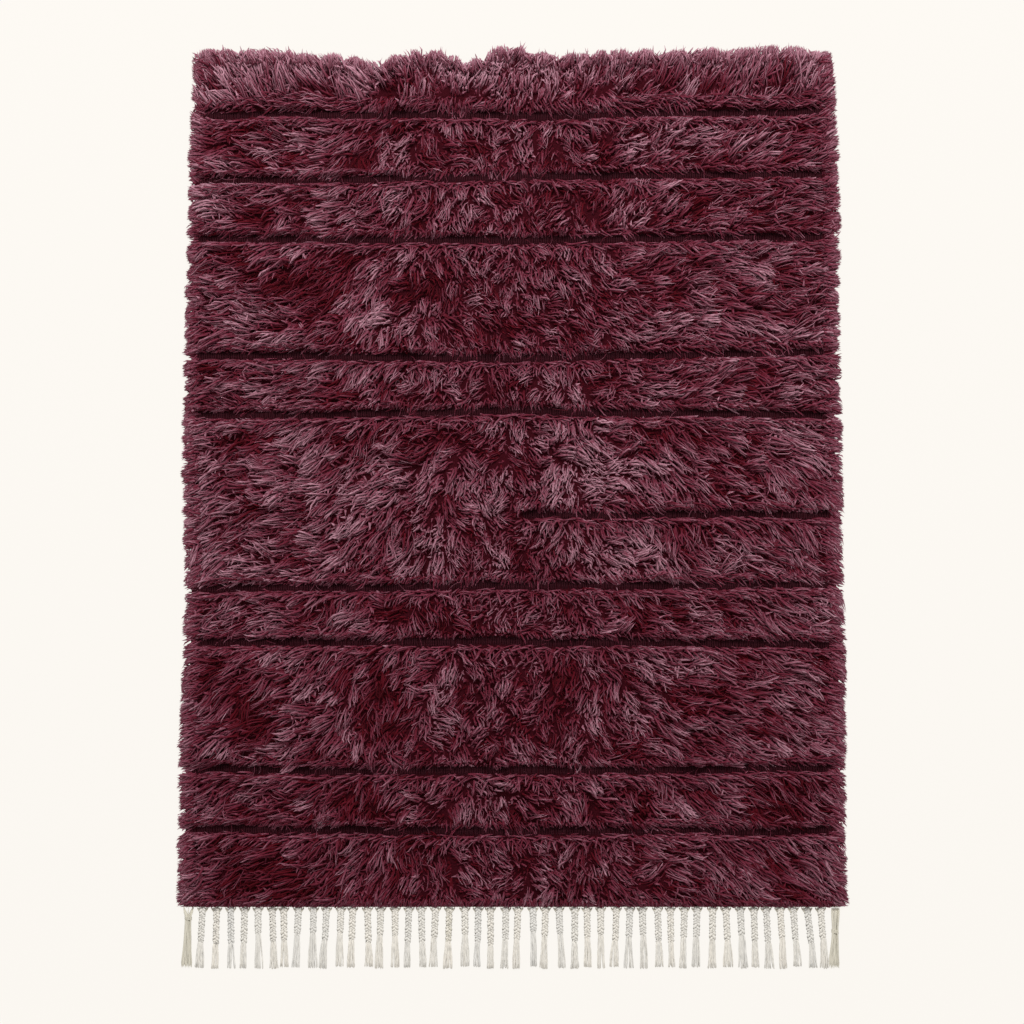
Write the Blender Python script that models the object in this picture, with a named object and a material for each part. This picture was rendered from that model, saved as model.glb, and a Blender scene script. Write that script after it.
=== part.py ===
"""A long-pile wool rug laid flat: bands of shag between flat-woven furrows, and a fringe of warp ends.

The origin is under the middle of the rug, on the surface it lies on. +X is to the right and +Y is towards the
head, where the pile stands up. The fringe is at -Y. Lengths are in metres.
"""

import random
from collections import namedtuple

import bmesh
import bpy
from mathutils import Vector, noise

# The whole rug.
RUG_WIDTH = 1.500  # over the tips of the pile
RUG_LENGTH = 2.100  # from the tips at the head to the ends of the fringe
HALF_WIDTH = RUG_WIDTH / 2
HEAD_TIP_Y = RUG_LENGTH / 2
FRINGE_TIP_Y = -RUG_LENGTH / 2

# The shag field.
FIELD_END_Y = -0.909  # the cloth stops here and its warp ends come out
PILE_LOFT = 0.028
PILE_RIM_Z = 0.016  # height of the pile where it meets the rim locks
PILE_ROLL = 0.055  # width over which the pile rounds down to its rim
PILE_END_ROLL = 0.020  # the same at the fringe, where the pile is trimmed straight

# Lumps of the pile: large swells, and the tufts on them.
SWELL_SIZE = 0.150
SWELL_RISE = 0.008
TUFT_SIZE = 0.075
TUFT_RISE = 0.015
MOST_LUMP = 0.007

# Furrows of flat weave between the bands of pile.
FURROW_FLOOR = 0.012  # width of the flat floor
FURROW_SLOPE = 0.009  # width of each side
FURROW_FLOOR_Z = 0.010
FURROW_FADE = 0.045  # length over which a furrow that stops short rises to the pile
FURROW_WAVER = 0.004  # how far the hand-woven lines stray
WAVER_SIZE = 0.140
WAVER_FADE = 0.050  # the straying dies out over this distance from the head and the fringe
STATION_X = 0.58  # the left and right columns of the table are measured at this distance from the middle

Furrow = namedtuple("Furrow", "left middle right starts_at")
FURROWS = (
    Furrow(0.890, 0.889, 0.896, -HALF_WIDTH),
    Furrow(0.737, 0.743, 0.749, -HALF_WIDTH),
    Furrow(0.596, 0.596, 0.602, -HALF_WIDTH),
    Furrow(0.326, 0.321, 0.332, -HALF_WIDTH),
    Furrow(0.189, 0.199, 0.192, -HALF_WIDTH),
    Furrow(-0.038, -0.038, -0.038, 0.008),
    Furrow(-0.204, -0.199, -0.197, -HALF_WIDTH),
    Furrow(-0.327, -0.325, -0.330, -HALF_WIDTH),
    Furrow(-0.613, -0.616, -0.610, -HALF_WIDTH),
    Furrow(-0.744, -0.748, -0.747, -HALF_WIDTH),
)

# How far the sides draw in from the full width, from head to fringe.
Side = namedtuple("Side", "y left right")
SIDES = (
    Side(1.05, 0.014, 0.008),
    Side(0.68, 0.009, 0.000),
    Side(0.40, 0.000, 0.009),
    Side(0.09, 0.001, 0.008),
    Side(-0.24, 0.017, 0.006),
    Side(-0.35, 0.013, 0.001),
    Side(-0.49, 0.002, 0.010),
    Side(-0.91, 0.005, 0.007),
)

# Dips in the line of tips along the head, and its rounded corners.
HEAD_CORNER = 0.012
HEAD_CORNER_X = 0.680
HEAD_CORNER_WIDTH = 0.050
Dip = namedtuple("Dip", "x half_width depth")
HEAD_DIPS = (
    Dip(-0.70, 0.10, 0.006),
    Dip(-0.44, 0.08, 0.012),
    Dip(-0.32, 0.11, 0.022),
    Dip(-0.10, 0.07, 0.024),
    Dip(0.12, 0.10, 0.010),
    Dip(0.40, 0.16, 0.009),
)

# A section of a lock or strand: how far out and to the side its middle is, and its width and height.
Section = namedtuple("Section", "out lean width height")
NARROW_TOP = 0.68  # width of a section's top against its underside
UNDERSIDE = 0.0005  # a point above this is on the top of a section

# A plan gives reach as a share of the lock's or strand's own.
Plan = namedtuple("Plan", "reach width height")

# Locks of pile that hang out round the rim. Widths and heights are shares of the root's.
SIDE_LOCK_REACH = 0.024
HEAD_LOCK_REACH = 0.026
LOCK_UNEVEN = 0.007  # most that a lock falls short of the rim line
LOCK_SWEEP = 0.007  # how far the tips at the sides lean towards the fringe
LOCK_SWEEP_FROM = 0.100  # the lean comes in over this distance from the fringe
LOCK_STRAY = 0.003
LOCK_PITCH = 0.032  # a wall face longer than this carries two locks
LOCK_SEED = 11
LOCK_PLAN = (
    Plan(0.55, 0.90, 0.80),
    Plan(1.00, 0.36, 0.36),
)
FURROW_LOCK_PLAN = (
    Plan(0.35, 1.30, 0.95),
    Plan(0.70, 0.60, 0.50),
)
UPRIGHT = 0.1  # the most that an upright wall's normal rises or sinks
ON_PILE = 0.25  # shares of a furrow's depth: up to here is a band of pile
ON_FLOOR = 0.95  # and from here is the floor

# Spacing of the field's mesh.
COLUMNS = 33
ROW_PITCH = 0.040
EDGE_COLUMN = 0.016  # width of the first column inside each side
EDGE_ROW = 0.012

# The heading that the fringe hangs from, parted from the cloth by a hair's gap.
GAP = 0.0003
HEADING_DEPTH = 0.0075
HEADING_THICKNESS = 0.005
HEADING_HALF_WIDTH = 0.733
HEADING_FRONT_Y = FIELD_END_Y - GAP - HEADING_DEPTH
MERGE = 1e-6

# The strands: plaited warp ends, and a plain bundle at each corner. Widths and heights are in metres.
STRANDS = 48
FIRST_STRAND_X = -0.720
STRAND_PITCH = 2 * abs(FIRST_STRAND_X) / (STRANDS - 1)
STRAND_ROOT = 0.011
BUNDLE_ROOT = 0.018
STRAND_STRAY = 0.0028  # how far a root is from its even place
STRAND_LEAN = 0.0055  # how far a tip leans to one side
STRAND_UNEVEN = 0.005  # most that a strand falls short of the longest
STRAND_SEED = 5
PLAIT_PLAN = (
    Plan(0.10, 0.0140, 0.0085),
    Plan(0.56, 0.0145, 0.0085),
    Plan(0.64, 0.0110, 0.0070),
    Plan(1.00, 0.0170, 0.0045),
)
BUNDLE_PLAN = (
    Plan(0.12, 0.0240, 0.0090),
    Plan(0.26, 0.0140, 0.0110),
    Plan(0.60, 0.0200, 0.0080),
    Plan(1.00, 0.0260, 0.0050),
)

# Colours and finish.
WOOL_PLUM = (0.100, 0.021, 0.033)
WARP_CREAM = (0.780, 0.720, 0.610)
WOOL_ROUGHNESS = 0.9


def smooth(share):
    """Eases from 0 to 1 as share goes from 0 to 1."""
    share = min(max(share, 0.0), 1.0)
    return share * share * (3 - 2 * share)


def across(row, x):
    """The y of a furrow or a row of the mesh at x, from its left, middle and right."""
    end = row.left if x < 0 else row.right
    waver = FURROW_WAVER * noise.noise(Vector((x, row.middle, 0.0)) / WAVER_SIZE)
    from_ends = min(HEAD_TIP_Y - row.middle, row.middle - FIELD_END_Y)
    return row.middle + (end - row.middle) * abs(x) / STATION_X + waver * smooth(from_ends / WAVER_FADE)


def furrow_share(x, y):
    """1 on the floor of a furrow, 0 on the pile, and between them on its sides."""
    share = 0.0
    for furrow in FURROWS:
        away = abs(y - across(furrow, x)) - FURROW_FLOOR / 2
        begun = 1.0
        if furrow.starts_at > -HALF_WIDTH:
            begun = smooth((x - furrow.starts_at) / FURROW_FADE)
        share = max(share, begun * (1 - smooth(away / FURROW_SLOPE)))
    return share


def side_line(side, y):
    """How far out the tips of the pile reach at y, on side -1 or +1."""
    for upper, lower in zip(SIDES, SIDES[1:]):
        if y >= lower.y:
            break
    share = smooth((upper.y - y) / (upper.y - lower.y))
    if side < 0:
        inset = upper.left + (lower.left - upper.left) * share
    else:
        inset = upper.right + (lower.right - upper.right) * share
    return HALF_WIDTH - inset


def head_line(x):
    """How far out the tips of the pile reach along the head."""
    dip = sum(d.depth * (1 - smooth(abs(x - d.x) / d.half_width)) for d in HEAD_DIPS)
    corner = HEAD_CORNER * smooth((abs(x) - HEAD_CORNER_X) / HEAD_CORNER_WIDTH)
    return HEAD_TIP_Y - dip - corner


def wall_x(side, y):
    return side * (side_line(side, y) - SIDE_LOCK_REACH)


def pile_top(x, y):
    """The height of the shag's surface."""
    place = Vector((x, y, 0.0))
    swell = SWELL_RISE * noise.noise(place / SWELL_SIZE)
    tuft = TUFT_RISE * noise.noise(place / TUFT_SIZE + Vector((5.0, 2.0, 8.0)))
    lump = min(max(swell + tuft, -MOST_LUMP), MOST_LUMP)
    from_side = min(wall_x(1, y) - x, x - wall_x(-1, y))
    from_head = head_line(x) - HEAD_LOCK_REACH - y
    from_end = (y - FIELD_END_Y) * PILE_ROLL / PILE_END_ROLL
    inside = min(max(min(from_side, from_head, from_end) / PILE_ROLL, 0.0), 1.0)
    rounded = (1 - (1 - inside) ** 2) ** 0.5
    pile = PILE_RIM_Z + (PILE_LOFT - PILE_RIM_Z + lump) * rounded
    return pile + (FURROW_FLOOR_Z - pile) * furrow_share(x, y)


Row = namedtuple("Row", "left middle right follows_head")


def level_row(y, follows_head=0.0):
    return Row(y, y, y, follows_head)


def shifted(furrow, by):
    return Row(furrow.left + by, furrow.middle + by, furrow.right + by, 0.0)


def rows_between(upper, lower):
    """Even rows between two others, at about ROW_PITCH."""
    steps = max(round((upper.middle - lower.middle) / ROW_PITCH), 1)
    rows = []
    for step in range(1, steps):
        share = step / steps
        ends = [a + (b - a) * share for a, b in zip(upper, lower)]
        rows.append(Row(*ends))
    return rows


def field_rows():
    """The rows of the mesh from head to fringe: the bands' own, and four along each furrow."""
    floor = FURROW_FLOOR / 2
    lip = floor + FURROW_SLOPE
    head = HEAD_TIP_Y - HEAD_LOCK_REACH
    rows = [level_row(head, 1.0)]
    upper = level_row(head - EDGE_ROW, 1.0)
    for furrow in FURROWS:
        rows.append(upper)
        rows += rows_between(upper, shifted(furrow, lip))
        rows += [shifted(furrow, lip), shifted(furrow, floor), shifted(furrow, -floor)]
        upper = shifted(furrow, -lip)
    end = level_row(FIELD_END_Y + EDGE_ROW)
    rows += [upper, *rows_between(upper, end), end, level_row(FIELD_END_Y)]
    return rows


def column_shares():
    """Where the columns stand between the left wall and the right one."""
    edge = EDGE_COLUMN / RUG_WIDTH
    inner = [edge + (1 - 2 * edge) * i / (COLUMNS - 2) for i in range(COLUMNS - 1)]
    return [0.0, *inner, 1.0]


def lay_out_field(bm):
    """A grid with its points moved to the rows and columns of the pile."""
    rows = field_rows()
    columns = column_shares()
    bmesh.ops.create_grid(bm, x_segments=len(columns) - 1, y_segments=len(rows) - 1, size=0.5)
    for vert in bm.verts:
        share = columns[round((vert.co.x + 0.5) * (len(columns) - 1))]
        row = rows[round((0.5 - vert.co.y) * (len(rows) - 1))]
        rough_x = (share - 0.5) * RUG_WIDTH
        y = across(row, rough_x) - row.follows_head * (HEAD_TIP_Y - head_line(rough_x))
        left = wall_x(-1, y)
        x = left + (wall_x(1, y) - left) * share
        vert.co = (x, y, pile_top(x, y))


def is_long_rim(edge):
    """Whether a lock on this edge would be too wide. The fringe's edge carries none."""
    at_fringe = max(vert.co.y for vert in edge.verts) < FIELD_END_Y + EDGE_ROW / 2
    return edge.is_boundary and not at_fringe and edge.calc_length() > LOCK_PITCH


def drop_walls(bm):
    """Walls from the pile's rim down to the floor, and a flat underside."""
    bmesh.ops.bisect_edges(bm, edges=[edge for edge in bm.edges if is_long_rim(edge)], cuts=1)
    rim = [edge for edge in bm.edges if edge.is_boundary]
    dropped = bmesh.ops.extrude_edge_only(bm, edges=rim)["geom"]
    for vert in dropped:
        if isinstance(vert, bmesh.types.BMVert):
            vert.co.z = 0.0
    floor_edges = [edge for edge in dropped if isinstance(edge, bmesh.types.BMEdge) and edge.is_boundary]
    bmesh.ops.contextual_create(bm, geom=floor_edges)
    bmesh.ops.recalc_face_normals(bm, faces=bm.faces)


def draw_out(bm, face, outward, aside, sections):
    """Draws a wall face out along the floor, section by section, into a tapering lock or strand."""
    root = face.calc_center_median()
    middle = root
    for section in sections:
        face = bmesh.ops.extrude_discrete_faces(bm, faces=[face])["faces"][0]
        target = root + outward * section.out + aside * section.lean
        for vert in face.verts:
            is_top = vert.co.z > UNDERSIDE
            half_width = section.width / 2 * (NARROW_TOP if is_top else 1.0)
            side = 1 if (vert.co - middle).dot(aside) > 0 else -1
            place = target + aside * side * half_width
            vert.co = (place.x, place.y, section.height if is_top else 0.0)
        middle = target


def rim_lock(face, chance):
    """The directions, root size, reach and lean of the lock on one face of the rim's wall."""
    middle = face.calc_center_median()
    stray = LOCK_STRAY * chance.uniform(-1, 1)
    if abs(face.normal.x) > abs(face.normal.y):
        side = 1 if middle.x > 0 else -1
        outward = Vector((side, 0.0, 0.0))
        aside = Vector((0.0, -1.0, 0.0))
        reach = side_line(side, middle.y) - abs(middle.x)
        lean = (LOCK_SWEEP + stray) * smooth((middle.y - FIELD_END_Y) / LOCK_SWEEP_FROM)
    else:
        outward = Vector((0.0, 1.0, 0.0))
        aside = Vector((1.0, 0.0, 0.0))
        reach = head_line(middle.x) - middle.y
        lean = LOCK_SWEEP * middle.x / HALF_WIDTH + stray
    reach -= LOCK_UNEVEN * chance.random() ** 2
    return outward, aside, reach, lean


def grow_locks(bm, chance):
    """A lock on each piece of the rim's wall but the fringe's, short in a furrow. Its sides have none."""
    walls = [face for face in bm.faces if abs(face.normal.z) < UPRIGHT and face.normal.y > UPRIGHT - 1]
    for face in sorted(walls, key=lambda wall: tuple(wall.calc_center_median())):
        middle = face.calc_center_median()
        in_furrow = furrow_share(middle.x, middle.y)
        if ON_PILE < in_furrow < ON_FLOOR:
            continue
        outward, aside, reach, lean = rim_lock(face, chance)
        width = max(abs((a.co - b.co).dot(aside)) for a in face.verts for b in face.verts)
        height = 2 * middle.z
        sections = [
            Section(reach * plan.reach, lean * plan.reach, width * plan.width, height * plan.height)
            for plan in (LOCK_PLAN if in_furrow <= ON_PILE else FURROW_LOCK_PLAN)
        ]
        draw_out(bm, face, outward, aside, sections)


def finished(bm, name, material, collection):
    """An object of the mesh, with its faces turned out and cut into triangles that follow the lumps."""
    bmesh.ops.recalc_face_normals(bm, faces=bm.faces)
    bmesh.ops.triangulate(bm, faces=bm.faces, quad_method="BEAUTY", ngon_method="BEAUTY")
    mesh = bpy.data.meshes.new(name)
    bm.to_mesh(mesh)
    bm.free()
    mesh.materials.append(material)
    obj = bpy.data.objects.new(name, mesh)
    collection.objects.link(obj)
    return obj


def shag_field(collection):
    bm = bmesh.new()
    lay_out_field(bm)
    drop_walls(bm)
    grow_locks(bm, random.Random(LOCK_SEED))
    return finished(bm, "shag_field", wool("plum_wool", WOOL_PLUM), collection)


def strand_places(chance):
    """The middle and root width of each strand, from left to right."""
    places = []
    for i in range(STRANDS):
        is_corner = i in (0, STRANDS - 1)
        stray = 0.0 if is_corner else STRAND_STRAY * chance.uniform(-1, 1)
        places.append((FIRST_STRAND_X + i * STRAND_PITCH + stray, BUNDLE_ROOT if is_corner else STRAND_ROOT))
    return places


def lay_heading(bm, places):
    """The narrow heading, parted from the cloth, and cut across at both edges of each strand's root."""
    bmesh.ops.create_cube(bm, size=1.0)
    for vert in bm.verts:
        vert.co.x *= 2 * HEADING_HALF_WIDTH
        vert.co.y = HEADING_FRONT_Y + HEADING_DEPTH * (0.5 + vert.co.y)
        vert.co.z = HEADING_THICKNESS * (0.5 + vert.co.z)
    for middle, root_width in places:
        for x in (middle - root_width / 2, middle + root_width / 2):
            whole = bm.verts[:] + bm.edges[:] + bm.faces[:]
            bmesh.ops.bisect_plane(bm, geom=whole, dist=MERGE, plane_co=(x, 0, 0), plane_no=(1, 0, 0))


def grow_strands(bm, places, chance):
    """A four-sided strand from each root: a plait that opens into loose ends, or a corner's plain bundle."""
    front = [face for face in bm.faces if face.normal.y < UPRIGHT - 1]
    for middle, root_width in places:
        face = min(front, key=lambda wall: abs(wall.calc_center_median().x - middle))
        front.remove(face)
        lean = STRAND_LEAN * chance.uniform(-1, 1)
        reach = HEADING_FRONT_Y - FRINGE_TIP_Y - STRAND_UNEVEN * chance.random() ** 2
        sections = [
            Section(reach * plan.reach, lean * plan.reach, plan.width, plan.height)
            for plan in (PLAIT_PLAN if root_width == STRAND_ROOT else BUNDLE_PLAN)
        ]
        draw_out(bm, face, Vector((0.0, -1.0, 0.0)), Vector((1.0, 0.0, 0.0)), sections)


def warp_fringe(collection):
    chance = random.Random(STRAND_SEED)
    places = strand_places(chance)
    bm = bmesh.new()
    lay_heading(bm, places)
    bm.normal_update()
    grow_strands(bm, places, chance)
    return finished(bm, "warp_fringe", wool("cream_warp", WARP_CREAM), collection)


def wool(name, colour):
    material = bpy.data.materials.new(name)
    material.use_nodes = True
    shader = material.node_tree.nodes["Principled BSDF"]
    shader.inputs["Base Color"].default_value = (*colour, 1.0)
    shader.inputs["Roughness"].default_value = WOOL_ROUGHNESS
    shader.inputs["Metallic"].default_value = 0.0
    return material


def centre_on_origin(objects):
    """Moves the rug so that its longest locks and strands lie evenly about the origin."""
    points = [vert.co for obj in objects for vert in obj.data.vertices]
    middle_x = (min(p.x for p in points) + max(p.x for p in points)) / 2
    middle_y = (min(p.y for p in points) + max(p.y for p in points)) / 2
    for obj in objects:
        for vert in obj.data.vertices:
            vert.co -= Vector((middle_x, middle_y, 0.0))


def main():
    for obj in list(bpy.data.objects):
        bpy.data.objects.remove(obj, do_unlink=True)
    collection = bpy.data.collections.new("shag_rug")
    bpy.context.scene.collection.children.link(collection)
    centre_on_origin([shag_field(collection), warp_fringe(collection)])


main()
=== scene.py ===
"""The looks of a long-pile wool rug that lies flat: its pile yarn by yarn, its furrows and its plaits.

Lengths are in metres. +X is to the right and +Y is towards the head, where the pile stands up. The fringe
is at -Y. The furrows and the lumps are the solids' own. The outline follows theirs, and single tufts and tips
stand up to 20 mm further out.
"""

import math
import random
from collections import namedtuple

import bmesh
import bpy
import numpy as np
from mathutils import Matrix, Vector, noise


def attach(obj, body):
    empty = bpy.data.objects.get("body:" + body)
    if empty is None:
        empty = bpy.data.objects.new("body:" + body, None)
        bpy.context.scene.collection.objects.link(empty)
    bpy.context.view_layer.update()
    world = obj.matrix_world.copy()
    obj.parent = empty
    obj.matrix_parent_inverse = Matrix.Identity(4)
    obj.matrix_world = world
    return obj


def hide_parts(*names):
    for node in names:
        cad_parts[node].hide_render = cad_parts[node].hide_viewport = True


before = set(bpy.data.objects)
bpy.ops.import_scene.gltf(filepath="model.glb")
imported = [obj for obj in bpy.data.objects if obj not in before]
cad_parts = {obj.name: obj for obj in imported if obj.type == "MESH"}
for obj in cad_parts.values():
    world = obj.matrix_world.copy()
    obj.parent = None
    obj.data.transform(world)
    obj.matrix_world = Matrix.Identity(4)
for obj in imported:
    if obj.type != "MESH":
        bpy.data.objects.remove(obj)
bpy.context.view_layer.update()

# The whole rug, as in the solids.
HALF_WIDTH = 0.750
HEAD_TIP_Y = 1.050
FRINGE_TIP_Y = -1.050
FIELD_END_Y = -0.909
PILE_LOFT = 0.028
PILE_RIM_Z = 0.016
PILE_ROLL = 0.055  # the pile rounds down over this width at the sides and at the head
PILE_END_ROLL = 0.020
SWELL_SIZE = 0.150
SWELL_RISE = 0.008
TUFT_SIZE = 0.075
TUFT_RISE = 0.015
TUFT_OFFSET = (5.0, 2.0)
MOST_LUMP = 0.007
FURROW_FLOOR = 0.012
FURROW_SLOPE = 0.009
FURROW_FLOOR_Z = 0.010
FURROW_FADE = 0.045
FURROW_WAVER = 0.004
WAVER_SIZE = 0.140
WAVER_FADE = 0.050
STATION_X = 0.58  # where the furrows have their left and right places

Furrow = namedtuple("Furrow", "left middle right starts_at", defaults=(-HALF_WIDTH,))
FURROWS = [Furrow(*row) for row in (
    (0.890, 0.889, 0.896), (0.737, 0.743, 0.749), (0.596, 0.596, 0.602), (0.326, 0.321, 0.332),
    (0.189, 0.199, 0.192), (-0.038, -0.038, -0.038, 0.008), (-0.204, -0.199, -0.197),
    (-0.327, -0.325, -0.330), (-0.613, -0.616, -0.610), (-0.744, -0.748, -0.747),
)]
BANDS = len(FURROWS) + 1
HALF_FURROW = 5  # this one runs over the right half only

Side = namedtuple("Side", "y left right")
SIDES = [Side(*row) for row in (
    (1.05, 0.007, 0.003), (0.68, 0.001, -0.007), (0.40, -0.001, -0.001), (0.09, -0.001, -0.003),
    (-0.24, 0.008, -0.001), (-0.35, 0.008, -0.006), (-0.49, 0.000, 0.000), (-0.91, 0.003, 0.001),
)]
Dip = namedtuple("Dip", "x half_width depth")
HEAD_DIPS = [Dip(*row) for row in (  # those below zero are tufts that stand out
    (-0.66, 0.10, -0.005), (-0.44, 0.08, 0.012), (-0.32, 0.11, 0.026), (-0.10, 0.07, 0.024),
    (0.00, 0.06, -0.012), (0.12, 0.10, 0.008), (0.42, 0.14, -0.003), (0.60, 0.16, -0.008),
)]
HEAD_CORNER = 0.018
HEAD_CORNER_X = 0.705
HEAD_CORNER_WIDTH = 0.045
SIDE_CORNER = 0.018  # the sides draw in by this at the head
FOOT_CORNER = 0.012  # and by this at the fringe
FOOT_CORNER_WIDTH = 0.028
SIDE_PROUD = 0.0052  # single tips stand this far out
HEAD_PROUD = 0.004
TRIM_Y = -0.9165  # the pile is cut straight along the fringe
SIDE_RIM = 0.024  # the pile past the cloth's edge, at the sides and at the head
HEAD_RIM = 0.026
RIM_DROP = 0.72  # share of its height that the rim loses on its way out
END_DROP = 0.45

# The table that heights are looked up in.
TABLE_STEP = 0.004
TABLE_X = np.arange(-0.772, 0.7721, TABLE_STEP)
TABLE_Y = np.arange(-0.940, 1.0681, TABLE_STEP)

# The pile: strands of yarn in clumps. A pair is for the middle of the rug and for its sides.
ROOT_PITCH = 0.0065
ROOT_Z = 0.0035
CLUMP_PITCH = 0.042
CLUMP_LENGTH = 1.6  # clumps are this much longer than they are wide
SWIRL_SIZE = 0.120
SWIRL = (math.radians(62), math.radians(16))
CLUMP_STRAY = (math.radians(28), math.radians(10))
LOCK_SIZE = 0.024  # locks within a clump wave this way and that
LOCK_STRAY = (math.radians(60), math.radians(42))
STRAND_STRAY = (math.radians(8), math.radians(6))
LOW_STRAY = 1.3  # low strands turn up to this angle from the others
LOW_REACH = 0.52
REACH = (0.0255, 0.049)
LEAST_REACH = 0.012
MOST_REACH = 0.070
CALM_X = 0.50  # from here out to the sides the pile lies evenly
CONVERGE = 0.34  # how much the tips of a clump draw together
TRIM_STRAY = 0.0015
HEAD_NAP_Y = 0.922  # from about here to the head the pile is combed up
HEAD_NAP_MIX = 0.022  # clumps lie both ways over this distance on each side
PILE_SEED = 31

Patch = namedtuple("Patch", "x y size tone")
# Their tone is partly painted light and shade: lighter where the pile lies smooth, darker where it lies open.
PATCHES = [Patch(*row) for row in (  # where the pile lies smooth and light, or open and dark
    (-0.05, 0.97, 0.17, 0.8), (-0.50, 0.98, 0.10, 0.4), (-0.67, 0.71, 0.13, 0.8), (-0.42, 0.52, 0.16, -0.9),
    (0.06, 0.67, 0.09, -0.7), (0.54, 0.64, 0.13, -0.5), (-0.30, 0.41, 0.09, 0.9), (0.18, 0.47, 0.09, -0.5),
    (-0.19, 0.17, 0.15, -0.9), (0.13, 0.22, 0.12, 0.6), (0.15, 0.04, 0.22, 0.9), (0.42, 0.10, 0.11, -0.9),
    (-0.55, 0.12, 0.09, -0.8), (-0.18, -0.09, 0.09, 0.7), (0.26, -0.14, 0.13, 0.7),
    (-0.18, -0.26, 0.07, -0.8), (-0.54, -0.46, 0.12, -0.7), (-0.30, -0.45, 0.11, -0.8),
    (0.42, -0.46, 0.08, -0.6), (-0.30, -0.68, 0.10, -1.1), (0.12, -0.68, 0.18, 0.4),
    (0.54, -0.68, 0.10, -0.8), (-0.50, -0.84, 0.18, -0.8), (0.66, -0.83, 0.10, 0.5),
)]

# A strand's rings between its root and its tip, as shares of its own length, reach, height and radius.
Ring = namedtuple("Ring", "along out up thick")
TOP_RINGS = (Ring(0.22, 0.10, 0.72, 0.90), Ring(0.52, 0.44, 1.00, 1.00), Ring(0.84, 0.82, 1.00, 0.84))
MAIN_RINGS = (Ring(0.30, 0.14, 0.80, 0.95), Ring(0.78, 0.74, 1.00, 0.90))
LOW_RINGS = (Ring(0.50, 0.45, 0.97, 1.00),)
RINGS = (TOP_RINGS, MAIN_RINGS, LOW_RINGS)
TOP, MAIN, LOW = range(3)
TIP_UP = 0.93

UV_MAP = "OFBake"
CLEAR_OF_FLOOR = 0.0003
ISLAND = 0.02  # width of a strand's strip on the map


def smooth(share):
    share = np.clip(share, 0.0, 1.0)
    return share * share * (3 - 2 * share)


def drift(x, y, size, seed, offset=(0.0, 0.0)):
    """Smooth values over the rug, about -0.7 to 0.7, that change over size."""
    flat = zip(np.ravel(x) / size + offset[0], np.ravel(y) / size + offset[1])
    return np.array([noise.noise(Vector((a, b, seed))) for a, b in flat]).reshape(np.shape(x))


def furrow_lines():
    """The y of each furrow along the table's x."""
    lines = []
    for row in FURROWS:
        end = np.where(TABLE_X < 0, row.left, row.right)
        waver = [noise.noise(Vector((x, row.middle, 0.0)) / WAVER_SIZE) for x in TABLE_X]
        fade = smooth(min(HEAD_TIP_Y - row.middle, row.middle - FIELD_END_Y) / WAVER_FADE)
        straight = row.middle + (end - row.middle) * np.abs(TABLE_X) / STATION_X
        lines.append(straight + FURROW_WAVER * np.array(waver) * fade)
    return lines


LINES = furrow_lines()


def line(index, x):
    return np.interp(x, TABLE_X, LINES[index])


def furrow_share(x, y):
    """1 on the floor of a furrow, 0 on the pile."""
    share = np.zeros(np.shape(x))
    for index, furrow in enumerate(FURROWS):
        away = np.abs(y - line(index, x)) - FURROW_FLOOR / 2
        begun = smooth((x - furrow.starts_at) / FURROW_FADE) if index == HALF_FURROW else 1.0
        share = np.maximum(share, begun * (1 - smooth(away / FURROW_SLOPE)))
    return share


def side_line(side, y):
    """How far out the tips reach at y, on side -1 or +1."""
    insets = np.zeros(np.shape(y))
    done = np.zeros(np.shape(y), bool)
    for upper, lower in zip(SIDES, SIDES[1:]):
        here = ~done & ((y >= lower.y) | (lower is SIDES[-1]))
        share = smooth((upper.y - y) / (upper.y - lower.y))
        a, b = (upper.left, lower.left) if side < 0 else (upper.right, lower.right)
        insets = np.where(here, a + (b - a) * share, insets)
        done |= here
    corners = SIDE_CORNER * smooth((y - HEAD_TIP_Y + HEAD_CORNER_WIDTH) / HEAD_CORNER_WIDTH)
    corners += FOOT_CORNER * smooth((TRIM_Y - y + FOOT_CORNER_WIDTH) / FOOT_CORNER_WIDTH)
    return HALF_WIDTH + SIDE_PROUD - insets - corners


def head_line(x):
    dip = sum(d.depth * (1 - smooth(np.abs(x - d.x) / d.half_width)) for d in HEAD_DIPS)
    corner = HEAD_CORNER * smooth((np.abs(x) - HEAD_CORNER_X) / HEAD_CORNER_WIDTH)
    return HEAD_TIP_Y + HEAD_PROUD - dip - corner


def from_edges(x, y):
    """How far each place is inside the cloth's edge, from the nearer side and from the head."""
    from_side = np.minimum(side_line(1, y) - SIDE_RIM - x, x + side_line(-1, y) - SIDE_RIM)
    return from_side, head_line(x) - HEAD_RIM - y


def height_table():
    """The height of the pile over the whole rug, down to the tips of its rim."""
    x, y = np.meshgrid(TABLE_X, TABLE_Y)
    swell = SWELL_RISE * drift(x, y, SWELL_SIZE, 0.0)
    tuft = TUFT_RISE * drift(x, y, TUFT_SIZE, 8.0, TUFT_OFFSET)
    lump = np.clip(swell + tuft, -MOST_LUMP, MOST_LUMP)
    from_side, from_head = from_edges(x, y)
    from_end = (y - FIELD_END_Y) * PILE_ROLL / PILE_END_ROLL
    inside = np.clip(np.minimum(np.minimum(from_side, from_head), from_end) / PILE_ROLL, 0.0, 1.0)
    pile = PILE_RIM_Z + (PILE_LOFT - PILE_RIM_Z + lump) * np.sqrt(1 - (1 - inside) ** 2)
    past = np.clip(np.maximum(-from_side / SIDE_RIM, -from_head / HEAD_RIM), 0.0, 1.0)
    past_end = np.clip((FIELD_END_Y - y) / (FIELD_END_Y - TRIM_Y), 0.0, 1.0)
    pile *= (1 - RIM_DROP * past) * (1 - END_DROP * past_end)
    share = furrow_share(x, y) * (1 - past)
    return pile + (FURROW_FLOOR_Z - pile) * share


HEIGHTS = height_table()


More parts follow.
